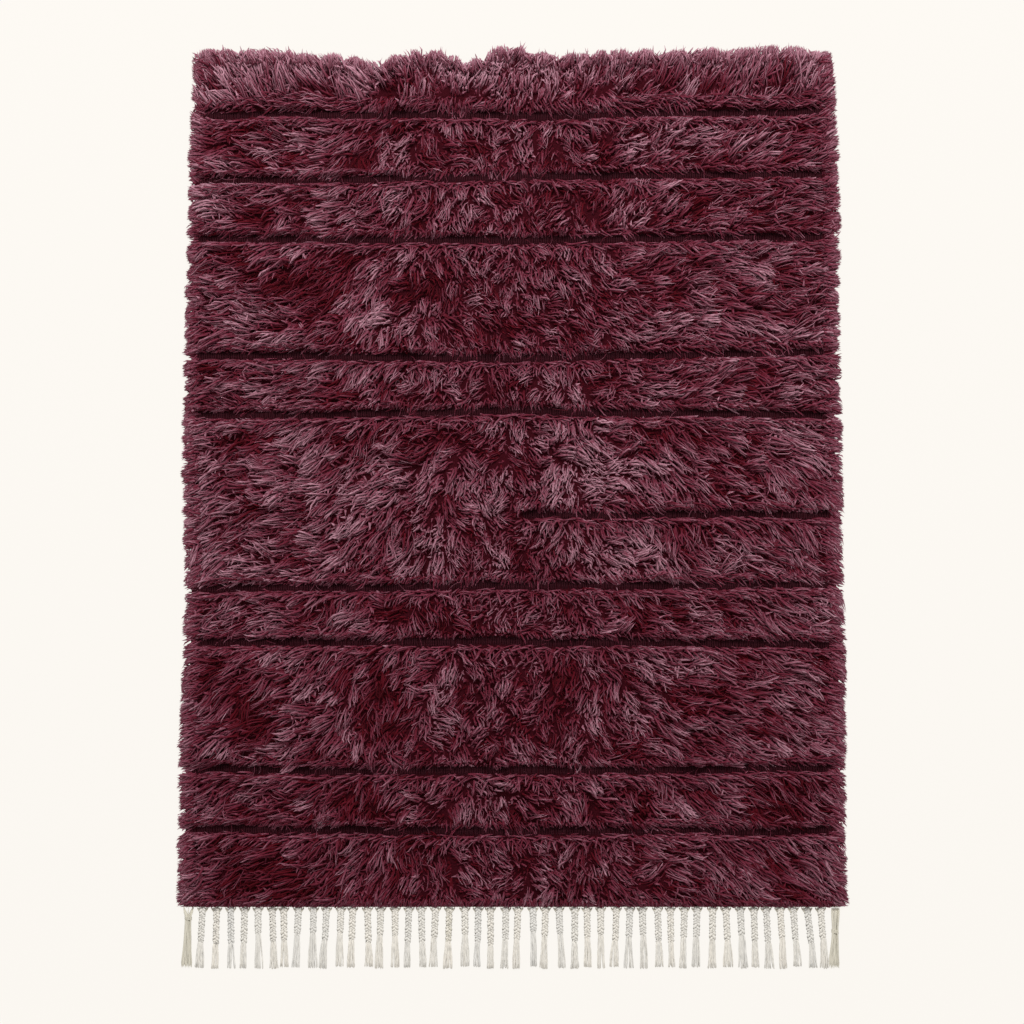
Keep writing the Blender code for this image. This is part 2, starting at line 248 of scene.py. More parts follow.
def pile_top(x, y):
    """The height of the pile, from the table."""
    column = np.clip((x - TABLE_X[0]) / TABLE_STEP, 0, len(TABLE_X) - 1.001)
    row = np.clip((y - TABLE_Y[0]) / TABLE_STEP, 0, len(TABLE_Y) - 1.001)
    i, j = column.astype(int), row.astype(int)
    fx, fy = column - i, row - j
    low = HEIGHTS[j, i] * (1 - fx) + HEIGHTS[j, i + 1] * fx
    high = HEIGHTS[j + 1, i] * (1 - fx) + HEIGHTS[j + 1, i + 1] * fx
    return low * (1 - fy) + high * fy


def joined(x, y, z):
    """Points from their coordinates."""
    return np.stack(np.broadcast_arrays(x, y, z), axis=-1)


def unit(vectors):
    return vectors / np.maximum(np.linalg.norm(vectors, axis=-1, keepdims=True), 1e-9)


class Tubes:
    """Closed tubes that are pointed at both ends, gathered from arrays into one mesh."""

    def __init__(self):
        self.points, self.quads, self.tris, self.quad_maps, self.tri_maps = [], [], [], [], []
        self.count = 0

    def add(self, path, radii, shade, along=None, sides=3, turn=0.0, flat=1.0):
        """path is tubes x (rings + 2) x 3, from root to tip, and radii is tubes x rings."""
        tubes, rings = radii.shape
        if not tubes:
            return
        ahead = unit(path[:, 2:] - path[:, :-2])
        aside = unit(np.cross(ahead, (0.0, 0.0, 1.0)))
        above = np.cross(aside, ahead)
        angles = 2 * np.pi * np.arange(sides) / sides + np.reshape(turn, (-1, 1))
        angles = np.broadcast_to(angles, (tubes, sides))[:, None, :, None]
        ring = np.cos(angles) * aside[:, :, None] + flat * np.sin(angles) * above[:, :, None]
        corners = path[:, 1:-1, None] + ring * radii[:, :, None, None]
        points = np.concatenate([corners.reshape(tubes, -1, 3), path[:, :1], path[:, -1:]], axis=1)
        points[..., 2] = np.maximum(points[..., 2], CLEAR_OF_FLOOR)
        self.points.append(points.reshape(-1, 3))
        first = self.count + np.arange(tubes)[:, None, None] * (rings * sides + 2)
        self.count += tubes * (rings * sides + 2)

        k = np.arange(sides)
        after = (k + 1) % sides
        r = np.arange(rings - 1)[:, None] * sides
        last, root = (rings - 1) * sides, np.full(sides, rings * sides)
        quads = np.stack([r + k, r + sides + k, r + sides + after, r + after], axis=-1).reshape(-1, 4)
        tris = np.concatenate([
            np.stack([root, k, after], axis=-1), np.stack([last + k, root + 1, last + after], axis=-1)
        ])
        self.quads.append((first + quads).reshape(-1, 4))
        self.tris.append((first + tris).reshape(-1, 3))

        t = np.linspace(0, 1, rings + 2) if along is None else np.asarray(along)
        left, right = ISLAND * (k / sides - 0.5), ISLAND * ((k + 1) / sides - 0.5)
        middle = (left + right) / 2
        low, high = np.repeat(t[1:-2], sides), np.repeat(t[2:-1], sides)
        lefts, rights = np.tile(left, rings - 1), np.tile(right, rings - 1)
        root_t, first_t, last_t, tip_t = (np.full(sides, t[i]) for i in (0, 1, -2, -1))
        self.quad_maps.append(self.spread(shade, (lefts, lefts, rights, rights), (low, high, high, low)))
        self.tri_maps.append(self.spread(
            shade,
            (np.append(middle, left), np.append(left, middle), np.append(right, right)),
            (np.append(root_t, last_t), np.append(first_t, tip_t), np.append(first_t, last_t)),
        ))

    @staticmethod
    def spread(shade, across, along):
        """The places on the map of the same faces on each tube, whose shade says which strip is its own."""
        u = shade[:, None] + np.stack(across, axis=-1).reshape(-1)
        v = np.broadcast_to(np.stack(along, axis=-1).reshape(-1), u.shape)
        return np.stack([u, v], axis=-1).reshape(-1, 2)

    def build(self, name, material):
        uv = np.concatenate([*self.quad_maps, *self.tri_maps])
        return mesh_object(name, np.concatenate(self.points), [*self.quads, *self.tris], uv, material)


def add_object(name, data):
    made = bpy.data.objects.new(name, data)
    bpy.context.scene.collection.objects.link(made)
    return made


def mesh_object(name, points, faces, uv, material):
    """faces is a list of arrays, each with faces of one size, and uv has a row for each of their corners."""
    mesh = bpy.data.meshes.new(name)
    corners = np.concatenate([group.ravel() for group in faces]).astype(np.int32)
    sizes = np.concatenate([np.full(len(group), group.shape[1]) for group in faces])
    starts = np.concatenate([[0], np.cumsum(sizes)[:-1]]).astype(np.int32)
    mesh.vertices.add(len(points))
    mesh.vertices.foreach_set("co", points.astype(np.float32).ravel())
    mesh.loops.add(len(corners))
    mesh.loops.foreach_set("vertex_index", corners)
    mesh.polygons.add(len(sizes))
    mesh.polygons.foreach_set("loop_start", starts)
    mesh.update(calc_edges=True)
    mesh.polygons.foreach_set("use_smooth", sizes > 3)
    if uv is not None:
        mesh.uv_layers.new(name=UV_MAP).data.foreach_set("uv", uv.astype(np.float32).ravel())
    mesh.validate()
    mesh.materials.append(material)
    return add_object(name, mesh)


def place(piece, node, slot):
    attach(piece, "root")
    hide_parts(node)
    return piece


# ---- clumps

Clumps = namedtuple("Clumps", "x y angle reach height shade curl")
CLUMP_JITTER = 0.42  # share of the pitch


def nap_angle(x, y, up):
    """Which way the pile lies: out at the sides and down in the middle, or up at the head."""
    left = np.radians(192 - 14 * y - 40 * smooth((y - 0.62) / 0.40))
    turned = 28 * smooth((y + 0.05) / 0.45) + 20 * smooth((y - 0.40) / 0.30) + 25 * smooth((y - 0.75) / 0.25)
    right = np.radians(turned - 28)
    to_left, to_right = smooth(-x / 0.60), smooth(x / 0.32)
    dx = to_left * np.cos(left) + to_right * np.cos(right)
    dy = to_left * np.sin(left) + to_right * np.sin(right) - (1 - to_left - to_right)
    dy = np.where(up, np.abs(dy) + 0.9, dy)
    return np.arctan2(dy, dx)


def from_middle(x, pair):
    """From the first of the pair in the middle of the rug to the second at its sides."""
    return pair[0] + (pair[1] - pair[0]) * smooth(np.abs(x) / CALM_X)


def make_clumps(chance):
    columns = round(2 * HALF_WIDTH / CLUMP_PITCH) + 2
    rows = round((HEAD_TIP_Y - FIELD_END_Y) / CLUMP_PITCH) + 2
    i, j = np.meshgrid(np.arange(columns), np.arange(rows))
    x = (i - (columns - 1) / 2 + 0.5 * (j % 2)) * CLUMP_PITCH
    y = FIELD_END_Y + (j - 0.5) * CLUMP_PITCH
    x = (x + CLUMP_PITCH * chance.uniform(-CLUMP_JITTER, CLUMP_JITTER, x.shape)).ravel()
    y = (y + CLUMP_PITCH * chance.uniform(-CLUMP_JITTER, CLUMP_JITTER, y.shape)).ravel()
    up = chance.random(x.size) < smooth((y - HEAD_NAP_Y + HEAD_NAP_MIX) / (2 * HEAD_NAP_MIX))
    calm = np.where(up, 0.35, 1.0)
    swirl = 2 * from_middle(x, SWIRL) * drift(x, y, SWIRL_SIZE, 3.7)
    angle = nap_angle(x, y, up) + calm * (swirl + from_middle(x, CLUMP_STRAY) * chance.normal(size=x.size))
    return Clumps(
        x=x,
        y=y,
        angle=angle,
        reach=chance.uniform(0.85, 1.15, x.size) * np.where(up, 1.3, 1.0),
        height=chance.uniform(0.66, 1.10, x.size),
        shade=chance.normal(size=x.size),
        curl=chance.normal(size=x.size),
    )


def nearest_clumps(clumps, x, y):
    """The index of the nearest clump to each place, and how far inside its border the place is."""
    best = np.full(x.size, np.inf)
    second = np.full(x.size, np.inf)
    index = np.zeros(x.size, int)
    order = np.argsort(clumps.y)
    for block in np.array_split(np.arange(x.size), max(x.size // 2000, 1)):
        low, high = y[block].min() - 2 * CLUMP_PITCH, y[block].max() + 2 * CLUMP_PITCH
        near = order[(clumps.y[order] > low) & (clumps.y[order] < high)]
        dx, dy = x[block][:, None] - clumps.x[near], y[block][:, None] - clumps.y[near]
        cos, sin = np.cos(clumps.angle[near]), np.sin(clumps.angle[near])
        away = np.hypot((dx * cos + dy * sin) / CLUMP_LENGTH, dy * cos - dx * sin)
        two = np.partition(away, 1, axis=1)[:, :2]
        index[block] = near[np.argmin(away, axis=1)]
        best[block], second[block] = two[:, 0], two[:, 1]
    return index, (second - best) / CLUMP_PITCH


class Lobes:
    """Points that the pile forms along its rim, each with its own width and depth."""

    def __init__(self, seed, start, end, pitch, depth):
        chance = np.random.default_rng(seed)
        start, end = start - LOBES_PAST, end + LOBES_PAST
        self.borders = start + np.cumsum(pitch * chance.uniform(0.55, 1.45, int((end - start) / pitch * 1.3)))
        self.depths = depth * chance.uniform(0.35, 1.0, self.borders.size)
        self.proud = chance.uniform(0.0, 0.35 * depth, self.borders.size)

    def at(self, place):
        """How far short of the rim line the pile stops, and how far its lobe's middle is from here."""
        index = np.clip(np.searchsorted(self.borders, place), 1, self.borders.size - 1)
        middle = (self.borders[index] + self.borders[index - 1]) / 2
        half = (self.borders[index] - self.borders[index - 1]) / 2
        share = np.clip(np.abs(place - middle) / half, 0.0, 1.0)
        return self.proud[index] + self.depths[index] * share ** 1.7, middle - place


# ---- pile

LOBES_PAST = 0.05  # the rows of lobes run this far past the rug
SIDE_LOBES = {
    side: Lobes(7 + side, FIELD_END_Y, HEAD_TIP_Y, 0.042, depth) for side, depth in ((-1, 0.017), (1, 0.015))
}
HEAD_LOBES = Lobes(12, -HALF_WIDTH, HALF_WIDTH, 0.058, 0.019)
TIP_FUZZ = 0.0022  # how unevenly the tips end
RIM_PITCH = 0.0027
ROOT_RIM = 0.85  # roots stand this share of the rim inside its tips
ROOT_FURROW = 0.45  # and as far down the slope of a furrow as this
NO_FURROW = 9.0

# The share of the strands on top, and of those on top or in the main layer, and how it grows with silkiness.
TOP_SHARE = (0.08, 0.08)
MAIN_SHARE = (0.44, 0.13)

# The height of each layer in the pile, how uneven it is and how many of its strands are fine.
LAYER_HEIGHT = (1.02, 0.88, 0.67)
LAYER_UNEVEN = (0.05, 0.10, 0.18)
LAYER_FINE = (0.55, 0.36, 0.0)
FINE_RADIUS = (0.0009, 0.0015)
THICK_RADIUS = (0.0020, 0.0034)
BAND_TONE = np.array([0.02, 0, 0, 0, 0, 0.08, 0.08, 0, -0.02, -0.02, -0.02])

# The rows of strands along the furrows, and those along the rim.
EDGE_START_X = 0.735
HEM_START_X = 0.730
ROW_END_X = 0.725
EDGE_REACH = (0.020, 0.044)
# The row nearer the furrow is lower and has a darker shade range, painted shade of the furrow.
EDGE_HEIGHT_AND_SHADE = (((0.35, 0.75), (0.42, 0.66)), ((0.55, 0.92), (0.46, 0.72)))
HEM_REACH = (0.014, 0.044)
HEM_PITCH = 0.0075
END_PITCH = 0.0027  # along the end of the cloth, which is cut straight
SIDE_ROWS = 3
HEAD_ROWS = 3
RIM_INSIDE = (0.002, 0.030)  # how far inside the cloth's edge the strands of the rim stand
LOBE_DRAW = 0.4  # how much the tips of a lobe draw together

HAIRS = 150
HAIR_REACH = (0.025, 0.045)
HAIR_LEAST_Z = 0.016
HAIR_RADIUS = 0.0007


def scatter_roots(chance):
    """Roots on a jittered grid, wherever there is cloth with pile."""
    columns = int(2 * HALF_WIDTH / ROOT_PITCH)
    rows = int((HEAD_TIP_Y - FIELD_END_Y) / ROOT_PITCH)
    i, j = np.meshgrid(np.arange(columns), np.arange(rows))
    x = (i - (columns - 1) / 2) * ROOT_PITCH + ROOT_PITCH * chance.uniform(-0.5, 0.5, i.shape)
    y = FIELD_END_Y + 0.002 + (j + 0.5) * ROOT_PITCH + ROOT_PITCH * chance.uniform(-0.5, 0.5, i.shape)
    x, y = x.ravel(), y.ravel()
    inside = (x < side_line(1, y) - SIDE_RIM * ROOT_RIM) & (x > -side_line(-1, y) + SIDE_RIM * ROOT_RIM)
    inside &= (y < head_line(x) - HEAD_RIM * ROOT_RIM) & (furrow_share(x, y) < ROOT_FURROW)
    return x[inside], y[inside]


def band_of(x, y):
    """The number of the band that each place is in, from the head."""
    return sum((y < line(index, x)).astype(int) for index in range(len(FURROWS)))


def furrow_limits(band, x):
    """The y of the edges of the furrows over and under each strand, out of reach where there is none."""
    over = np.full(x.size, NO_FURROW)
    under = np.full(x.size, -NO_FURROW)
    for index in range(len(FURROWS)):
        there = x > FURROWS[index].starts_at + 0.02 if index == HALF_FURROW else np.ones(x.size, bool)
        over = np.where(there & (band == index + 1), line(index, x) - FURROW_FLOOR / 2, over)
        under = np.where(there & (band == index), line(index, x) + FURROW_FLOOR / 2, under)
    return over, under


def held_back(root, tip, most):
    """How much of the way from root to tip stays below most."""
    step = tip - root
    room = np.maximum(most - root, 0.004)
    return np.where(step > 1e-6, np.minimum(1.0, room / np.maximum(step, 1e-6)), 1.0)


def overhang(x, y):
    """How far the pile over a furrow hangs into it, clump by clump."""
    return 0.0050 + 0.0240 * drift(x, y, 0.048, 2.5) + 0.0100 * drift(x, y, 0.013, 8.5)


def strand_tips(chance, x, y, angle, reach):
    """The tips of strands, held back at the rug's outline and at the furrows they may only just overhang."""
    tip_x = x + reach * np.cos(angle)
    tip_y = y + reach * np.sin(angle)
    ragged = np.abs(chance.normal(size=(4, x.size)))
    over, under = furrow_limits(band_of(x, y), x)
    share = np.ones(x.size)
    for side in (-1, 1):
        short = SIDE_LOBES[side].at(tip_y)[0] + TIP_FUZZ * ragged[0]
        share = np.minimum(share, held_back(side * x, side * tip_x, side_line(side, tip_y) - short))
    short = HEAD_LOBES.at(tip_x)[0] + 2 * TIP_FUZZ * ragged[1]
    share = np.minimum(share, held_back(y, tip_y, head_line(tip_x) - short))
    share = np.minimum(share, held_back(-y, -tip_y, -TRIM_Y + TRIM_STRAY * (ragged[1] - 0.8)))
    share = np.minimum(share, held_back(y, tip_y, over + 0.001))
    there = under > -NO_FURROW
    hang = np.zeros(x.size)
    hang[there] = overhang(tip_x[there], under[there])
    share = np.minimum(share, held_back(-y, -tip_y, -under + hang - 0.0025 * ragged[2]))
    return x + share * (tip_x - x), y + share * (tip_y - y)


def strand_paths(x, y, tip_x, tip_y, bend, wave, height, rings):
    """Each strand rises from its root, leans over and follows the top of the pile to its tip."""
    step_x, step_y = tip_x - x, tip_y - y
    stops = [Ring(0.0, 0.0, 0.0, 0.0), *rings, Ring(1.0, 1.0, TIP_UP, 0.0)]
    path = np.zeros((x.size, len(stops), 3))
    for stop, ring in enumerate(stops):
        t, out = ring.along, ring.out
        sway = bend * 4 * t * (1 - t) * out ** 0.5 + wave * math.sin(2 * math.pi * t)
        px = x + step_x * out - step_y * sway
        py = y + step_y * out + step_x * sway
        path[:, stop] = joined(px, py, ROOT_Z + (pile_top(px, py) * height - ROOT_Z) * ring.up)
    return path


Strands = namedtuple("Strands", "x y tip_x tip_y bend wave height radius shade turn band kind")


def patch_tone(x, y):
    return sum(p.tone * (1 - smooth(np.hypot(x - p.x, y - p.y) / p.size)) for p in PATCHES)


def painted_rim_light(x, y):
    """Painted light: how much lighter the pile is coloured towards the cloth's edge, most of all at the head.
    """
    from_side, from_head = from_edges(x, y)
    return np.maximum(1.4 * (1 - smooth(from_side / 0.050)), 2.7 * (1 - smooth(from_head / 0.085)))


def silkiness(x, y):
    """1 where the pile lies close and smooth, 0 where it is tousled and open."""
    silk = 0.30 + 0.38 * smooth(np.abs(x) / CALM_X) + drift(x, y, 0.070, 12.4) + 0.40 * patch_tone(x, y)
    return np.clip(silk, 0.0, 1.0)


def tones_and_painted_light(chance, x, y, silk, band, clump_tone, fine, layer, heart):
    """How light each strand is: a random tone, with painted light and shade from where it lies."""
    open_pile = 1 - silk
    # The patches' share is partly painted light and shade, lighter where the pile lies smooth and darker
    # where open.
    tone = 0.50 + BAND_TONE[band] + 0.32 * patch_tone(x, y) + 0.08 * clump_tone
    # Fine strands are given a painted highlight.
    tone = tone + (0.02 + 0.04 * open_pile) * chance.normal(size=x.size) + 0.17 * fine
    # Painted light and shade: lighter high up, in a clump's heart, where smooth and near the rim, darker low
    # down.
    tone += 0.40 * (layer - 0.82) + 0.18 * (heart - 0.6) + 0.08 * silk + 0.18 * painted_rim_light(x, y)
    tone += 0.30 * drift(x, y, 0.11, 9.1) + 0.40 * drift(x, y, 0.038, 7.7) + 0.28 * drift(x, y, 0.018, 1.1)
    return np.clip(tone, 0.02, 0.98)


def clump_strands(chance):
    """The strands of the field. The tips of each clump draw together, but not those of low strands."""
    x, y = scatter_roots(chance)
    silk = silkiness(x, y)
    open_pile = 1 - silk
    clumps = make_clumps(chance)
    clump, inside = nearest_clumps(clumps, x, y)
    many = x.size
    draw = chance.random(many)
    upper = np.where(draw < TOP_SHARE[0] + TOP_SHARE[1] * silk, TOP, MAIN)
    kind = np.where(draw < MAIN_SHARE[0] + MAIN_SHARE[1] * silk, upper, LOW)
    low = kind == LOW
    stray = (0.5 + open_pile) * from_middle(x, STRAND_STRAY) * chance.normal(size=many)
    angle = clumps.angle[clump] + stray
    lock_stray = from_middle(x, LOCK_STRAY) * drift(x, y, LOCK_SIZE, 5.3)
    angle += lock_stray + low * chance.uniform(-LOW_STRAY, LOW_STRAY, many)
    reach = from_middle(x, REACH) * clumps.reach[clump] * chance.uniform(0.72, 1.18, many)
    reach = reach * np.where(low, LOW_REACH, 1.0)
    drawn = np.where(low, 0.0, CONVERGE)
    step_x = reach * np.cos(angle) - drawn * (x - clumps.x[clump])
    step_y = reach * np.sin(angle) - drawn * (y - clumps.y[clump])
    angle = np.arctan2(step_y, step_x)
    reach = np.clip(np.hypot(step_x, step_y), LEAST_REACH, MOST_REACH)
    tip_x, tip_y = strand_tips(chance, x, y, angle, reach)
    uneven = np.choose(kind, LAYER_UNEVEN) * (0.5 + open_pile)
    layer = np.choose(kind, LAYER_HEIGHT) - 0.06 * open_pile + uneven * chance.uniform(-1, 1, many)
    heart = smooth(inside / 0.40)
    fine = chance.random(many) < np.choose(kind, LAYER_FINE) * (0.5 + open_pile)
    radius = np.where(fine, chance.uniform(*FINE_RADIUS, many), chance.uniform(*THICK_RADIUS, many))
    radius = (0.82 + 0.12 * silk + 0.20 * low) * radius
    band = band_of(x, y)
    shade = tones_and_painted_light(chance, x, y, silk, band, clumps.shade[clump], fine, layer, heart)
    return Strands(
        x, y, tip_x, tip_y,
        bend=0.08 * clumps.curl[clump] + 0.08 * chance.normal(size=many),
        wave=0.045 * chance.normal(size=many),
        height=clumps.height[clump] * (0.60 + 0.42 * heart) * layer,
        radius=radius,
        shade=shade,
        turn=chance.uniform(0, 2, many),
        band=band,
        kind=kind,
    )


def uneven_row(chance, start, end, pitch, jitter):
    """Places a pitch apart, each moved by up to the jitter."""
    places = np.arange(start, end, pitch)
    return places + chance.uniform(-jitter, jitter, places.size)


def gathered(chance, parts, height, shade, radius=(0.0016, 0.0030)):
    """The strands of several rows of x, y, tip x, tip y and band. What else they need is drawn at random."""
    x, y, tip_x, tip_y, band = (np.concatenate(column) for column in zip(*parts))
    many = x.size
    return Strands(
        x, y, tip_x, tip_y,
        bend=chance.uniform(-0.10, 0.10, many),
        wave=0.04 * chance.normal(size=many),
        height=chance.uniform(*height, many),
        radius=chance.uniform(*radius, many),
        shade=chance.uniform(*shade, many),
        turn=chance.uniform(0, 2, many),
        band=band,
        kind=np.full(many, MAIN),
    )


def edge_strands(chance, row):
    """Strands that lie along the lower side of each furrow and hide the roots there, in two rows."""
    parts = []
    for index, furrow in enumerate(FURROWS):
        x = uneven_row(chance, max(furrow.starts_at, -EDGE_START_X) + 0.015, ROW_END_X, 0.0070, 0.0035)
        y = line(index, x) - FURROW_FLOOR / 2 - 0.0040 - 0.0060 * row
        y = y + chance.uniform(-0.0060, 0.0050, x.size)
        way = np.where(chance.random(x.size) < 0.5 + 1.6 * x, 1.0, -1.0)
        fall = np.radians(chance.uniform(-8, 36 + 40 * row, x.size)) * (1.6 - smooth(np.abs(x) / CALM_X))
        angle = np.where(way > 0, -fall, np.pi + fall)
        tip_x, tip_y = strand_tips(chance, x, y, angle, chance.uniform(*EDGE_REACH, x.size))
        parts.append((x, y, tip_x, tip_y, np.full(x.size, index + 1)))
    return gathered(chance, parts, *EDGE_HEIGHT_AND_SHADE[row])


def hem_strands(chance, row):
    """Strands that hang over the upper side of each furrow and the cloth's end, in more rows at the head."""
    parts = []
    for index in range(BANDS if row < 2 else 1):
        at_end = index == len(FURROWS)
        start = -HEM_START_X if at_end else max(FURROWS[index].starts_at, -HEM_START_X)
        x = uneven_row(chance, start + 0.010, ROW_END_X, END_PITCH if at_end else HEM_PITCH, 0.0037)
        edge = np.full(x.size, FIELD_END_Y - 0.006) if at_end else line(index, x) + FURROW_FLOOR / 2
        y = edge + 0.0060 + 0.0085 * row + chance.uniform(-0.003, 0.006, x.size)
        fall = -90 + (40 if at_end else 70) * np.clip(x / 0.36, -1, 1)
        fall = fall + 10 * chance.normal(size=x.size) + 70 * drift(x, y, 0.034, 6.6)
        tip_x, tip_y = strand_tips(chance, x, y, np.radians(fall), chance.uniform(*HEM_REACH, x.size))
        parts.append((x, y, tip_x, tip_y, np.full(x.size, index)))
    return gathered(chance, parts, (0.60, 1.04), (0.38, 0.70), (0.0013, 0.0026))


def side_strands(chance):
    """Strands that hang over the cloth's edge at both sides, down to the floor, and gather in lobes."""
    parts = []
    for side in (-1, 1):
        for _ in range(SIDE_ROWS):
            y = uneven_row(chance, FIELD_END_Y + 0.002, HEAD_TIP_Y - 0.030, RIM_PITCH, 0.0013)
            short, aside = SIDE_LOBES[side].at(y)
            in_furrow = 0.003 * furrow_share(np.full(y.size, side * 0.70), y)
            short += in_furrow + TIP_FUZZ * np.abs(chance.normal(size=y.size))
            out = SIDE_RIM + chance.uniform(*RIM_INSIDE, y.size)
            x = side * (side_line(side, y) - out)
            lean = np.degrees(nap_angle(x, y, False))
            lean = np.where(side > 0, lean, (360 - lean) % 360 - 180)
            lean = 0.7 * lean + 9 * chance.normal(size=y.size)
            tip_y = y + out * np.tan(np.radians(lean)) + LOBE_DRAW * aside
            tip_y = np.maximum(tip_y, TRIM_Y + chance.uniform(0.0, 0.006, y.size))
            tip_y = np.minimum(tip_y, head_line(np.array(0.73)) - chance.uniform(0.004, 0.030, y.size))
            parts.append((x, y, x + side * (out - short), tip_y, band_of(x, y)))
    # The light shade range is painted light on the rim.
    return gathered(chance, parts, (0.40, 1.00), (0.48, 0.82))


def head_strands(chance):
    """The same at the head, where single strands stick out as well."""
    parts = []
    for row in range(HEAD_ROWS + 1):
        sparse = row == HEAD_ROWS
        reach_x = HALF_WIDTH - (0.090 if sparse else 0.026)
        x = uneven_row(chance, -reach_x, reach_x, RIM_PITCH * (6 if sparse else 1), 0.001)
        short, aside = HEAD_LOBES.at(x)
        short += 1.5 * TIP_FUZZ * np.abs(chance.normal(size=x.size))
        if sparse:
            short = chance.uniform(-0.004, 0.008, x.size)
        inside = chance.uniform(*RIM_INSIDE, x.size)
        y = head_line(x) - HEAD_RIM - inside
        out = HEAD_RIM + inside - short
        lean = 26 * x + 5 * chance.normal(size=x.size) + 34 * drift(x, 0 * x, 0.030, 3.1)
        tip_x = x + out * np.tan(np.radians(lean)) + LOBE_DRAW * aside
        limit = HALF_WIDTH - chance.uniform(0.010, 0.030, x.size)
        tip_x = np.clip(tip_x, -limit, limit)
        parts.append((x, y, tip_x, y + out, np.zeros(x.size, int)))
    # The light shade range is painted light on the rim at the head.
    return gathered(chance, parts, (0.45, 1.10), (0.66, 0.98), (0.0010, 0.0022))


def lay_pile(material):
    chance = np.random.default_rng(PILE_SEED)
    groups = [clump_strands(chance), side_strands(chance), head_strands(chance)]
    groups += [edge_strands(chance, row) for row in range(2)] + [hem_strands(chance, row) for row in range(4)]
    for band in range(BANDS):
        tubes = Tubes()
        for strands in groups:
            for kind, rings in enumerate(RINGS):
                s = Strands(*(column[(strands.band == band) & (strands.kind == kind)] for column in strands))
                path = strand_paths(s.x, s.y, s.tip_x, s.tip_y, s.bend, s.wave, s.height, rings)
                radii = s.radius[:, None] * np.array([ring.thick for ring in rings])
                along = [0.0, *(ring.along for ring in rings), 1.0]
                tubes.add(path, radii, s.shade, along, turn=s.turn, flat=0.8)
        place(tubes.build(f"pile_band_{band + 1:02d}", material), "shag_field", "plum_wool")


def lay_stray_hairs(material):
    """Loose hairs that cross the furrows or lie over the pile."""
    chance = np.random.default_rng(PILE_SEED + 1)
    many = HAIRS
    x = chance.uniform(-0.66, 0.66, many)
    index = chance.integers(0, len(FURROWS), many)
    y = np.array([line(i, a) for i, a in zip(index, x)]) + chance.uniform(0.0, 0.020, many)
    no_furrow = (index == HALF_FURROW) & (x < 0.05)
    y = np.where(no_furrow, chance.uniform(-0.85, 0.90, many), y)
    angle = -np.pi / 2 + chance.normal(size=many) * 0.7
    reach = chance.uniform(*HAIR_REACH, many)
    bend = chance.uniform(-0.3, 0.3, many)
    path = np.zeros((many, 6, 3))
    for i, t in enumerate(np.linspace(0, 1, 6)):
        sway = bend * 4 * t * (1 - t)
        px = x + reach * (np.cos(angle) * t - np.sin(angle) * sway)
        py = y + reach * (np.sin(angle) * t + np.cos(angle) * sway)
        path[:, i] = joined(px, py, np.maximum(pile_top(px, py), HAIR_LEAST_Z) + 0.001)
    path[:, 0, 2] -= 0.006
    radii = np.full((many, 4), HAIR_RADIUS) * np.array([1.0, 0.9, 0.8, 0.7])
    tubes = Tubes()
    tubes.add(path, radii, chance.uniform(0.35, 0.70, many), np.linspace(0.3, 1, 6), sides=3)
    place(tubes.build("stray_hairs", material), "shag_field", "plum_wool")


# ---- ground cloth

GROUND_SHARE = 0.30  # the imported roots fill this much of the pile's height
GROUND_FLOOR_Z = 0.0075
GROUND_ROUGH = 0.0018
COVER_END_Y = TRIM_Y + 0.0012  # the cloth covers the heading as far as this
COVER_Z = 0.0042
CLOTH_COLUMNS = 104
ROW_PITCH = 0.015
FIRST_ROW = 0.008
ROW_OFFSETS = (0.017, 0.010, 0.006, 0.0, -0.006, -0.010, -0.017)  # of the rows in and beside each furrow


def ground_rows():
    """The y of each row of the cloth along the table's x, close together at the furrows."""
    current = head_line(TABLE_X) - HEAD_RIM
    rows = [current]
    current = current - FIRST_ROW
    end = np.full(len(TABLE_X), COVER_END_Y)
    for target in [furrow + offset for furrow in LINES for offset in ROW_OFFSETS] + [end]:
        steps = max(int(round((np.mean(current) - np.mean(target)) / ROW_PITCH)), 1)
        rows += [current + (target - current) * step / steps for step in range(steps)]
        current = target
    return [*rows, end]


def lay_ground(material):
    """The woven cloth under the pile, a closed sheet that is flat underneath, coloured near black as painted
    shade.
    """
    columns = CLOTH_COLUMNS
    rows = ground_rows()
    share = np.linspace(0, 1, columns)
    points = []
    for row in rows:
        rough_x = (share - 0.5) * 2 * HALF_WIDTH
        y = np.interp(rough_x, TABLE_X, row)
        left = -(side_line(-1, y) - SIDE_RIM)
        right = side_line(1, y) - SIDE_RIM
        x = left + (right - left) * share
        y = np.interp(x, TABLE_X, row)
        rough = GROUND_ROUGH * (0.6 * drift(x, y, 0.011, 4.0) + drift(x, y, 0.03, 6.0))
        top = GROUND_SHARE * pile_top(x, y) + rough
        z = np.maximum(top + (GROUND_FLOOR_Z - top) * furrow_share(x, y), COVER_Z)
        points.append(joined(x, y, z))
    many = len(rows)
    grid = np.arange(many * columns).reshape(many, columns)
    rim = np.concatenate([grid[0], grid[1:, -1], grid[-1, -2::-1], grid[-2:0:-1, 0]])
    top_points = np.concatenate(points)
    low = top_points[rim] * (1, 1, 0)
    low_index = len(top_points) + np.arange(len(rim))
    quads = np.stack([grid[1:, :-1], grid[1:, 1:], grid[:-1, 1:], grid[:-1, :-1]], axis=-1).reshape(-1, 4)
    walls = np.stack([rim, np.roll(rim, -1), np.roll(low_index, -1), low_index], axis=-1)
    faces = [quads, walls, low_index[None]]
    piece = mesh_object("ground_cloth", np.concatenate([top_points, low]), faces, None, material)
    return place(piece, "shag_field", "plum_wool")


RIB_PITCH = 0.0052
RIB_RADIUS = 0.0028
RIB_HALF = 0.0135
RIB_Z = 0.0080
RIB_DROP = 0.0022


